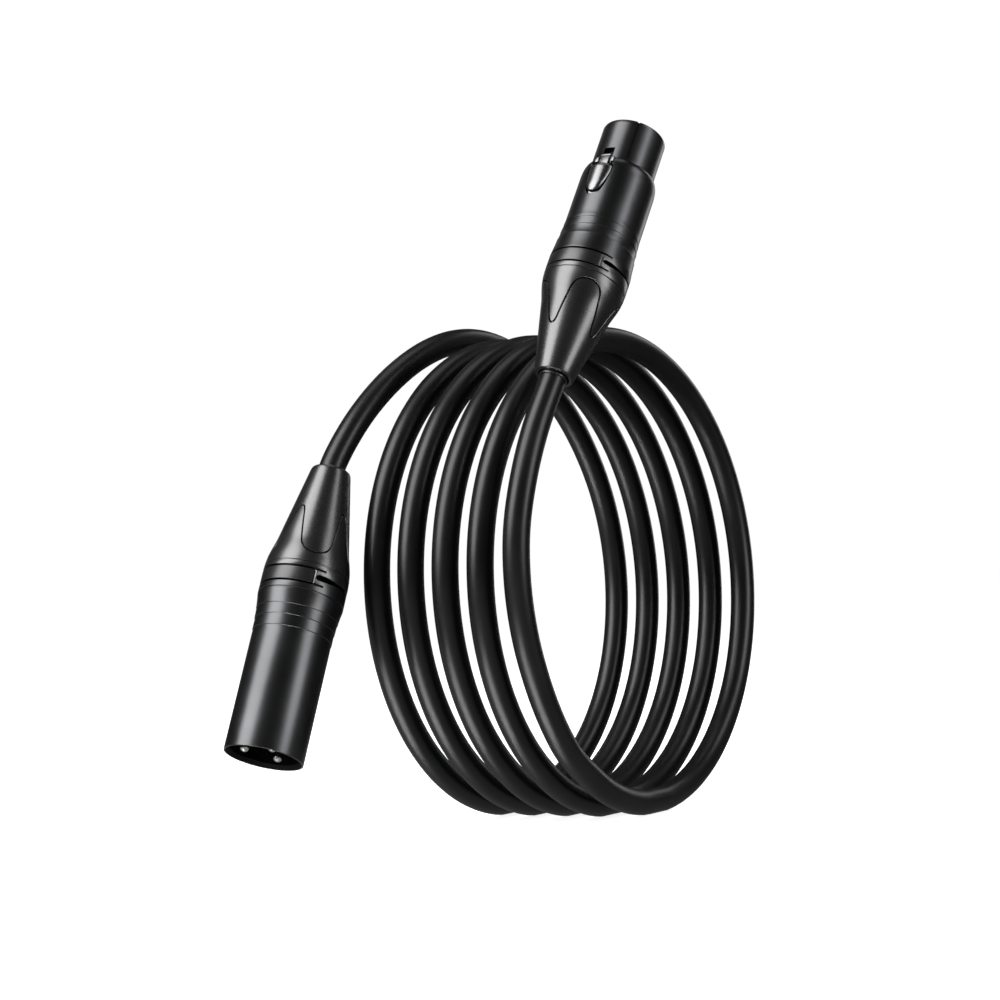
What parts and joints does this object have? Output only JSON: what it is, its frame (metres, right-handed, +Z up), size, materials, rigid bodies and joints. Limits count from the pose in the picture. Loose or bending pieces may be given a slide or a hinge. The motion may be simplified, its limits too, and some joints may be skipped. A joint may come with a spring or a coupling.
{
  "type": "xlr cable coil",
  "caption": "Coiled black microphone cable standing on edge, with a male and a female three-pole connector and a sprung latch tab.",
  "frame": {"origin": "middle of the part's bounding box, at its bottom: on the surface that the coil stands on", "axes": "+Z up; the coil's axis runs along Y, from the female connector's side towards the male one's; the connectors leave the coil on its -X side"},
  "size_m": [0.1638, 0.0792, 0.1737],
  "materials": {
    "cord": "satin black jacket",
    "boot": "satin black",
    "bushing": "satin black",
    "ring": "satin black",
    "chuck": "matte",
    "carrier": "matte black",
    "shell": "satin black coated die casting",
    "silver": "silver plated",
    "latch": "bright plated",
    "steel": "bright spring steel",
    "wire": "insulated conductor"
  },
  "bodies": {
    "cable": {"cable_coil": "cord", "female_lead": "cord", "male_lead": "cord", "male_boot": "boot", "male_bushing": "bushing", "male_ring": "ring", "male_chuck": "chuck", "male_shell": "shell", "male_insert": "carrier", "male_pin_1": "silver", "male_pin_2": "silver", "male_pin_3": "silver", "male_wire_1": "wire", "male_wire_2": "wire", "male_wire_3": "wire", "female_boot": "boot", "female_bushing": "bushing", "female_ring": "ring", "female_chuck": "chuck", "female_shell": "shell", "female_insert": "carrier", "female_contact_1": "silver", "female_contact_2": "silver", "female_contact_3": "silver", "female_wire_1": "wire", "female_wire_2": "wire", "female_wire_3": "wire", "latch_pin": "steel", "latch_spring": "steel"},
    "latch_tab": {"latch": "latch"}
  },
  "joints": [
    {"name": "latch_press", "type": "hinge", "parent": "cable", "child": "latch_tab", "pos_m": [-0.00855, -0.02993, 0.15427], "axis": [0.0023, 0.9967, 0.0816], "range_deg": [0, 4], "stiffness_Nm_per_rad": 0.3, "springref_deg": -1.72}
  ]
}
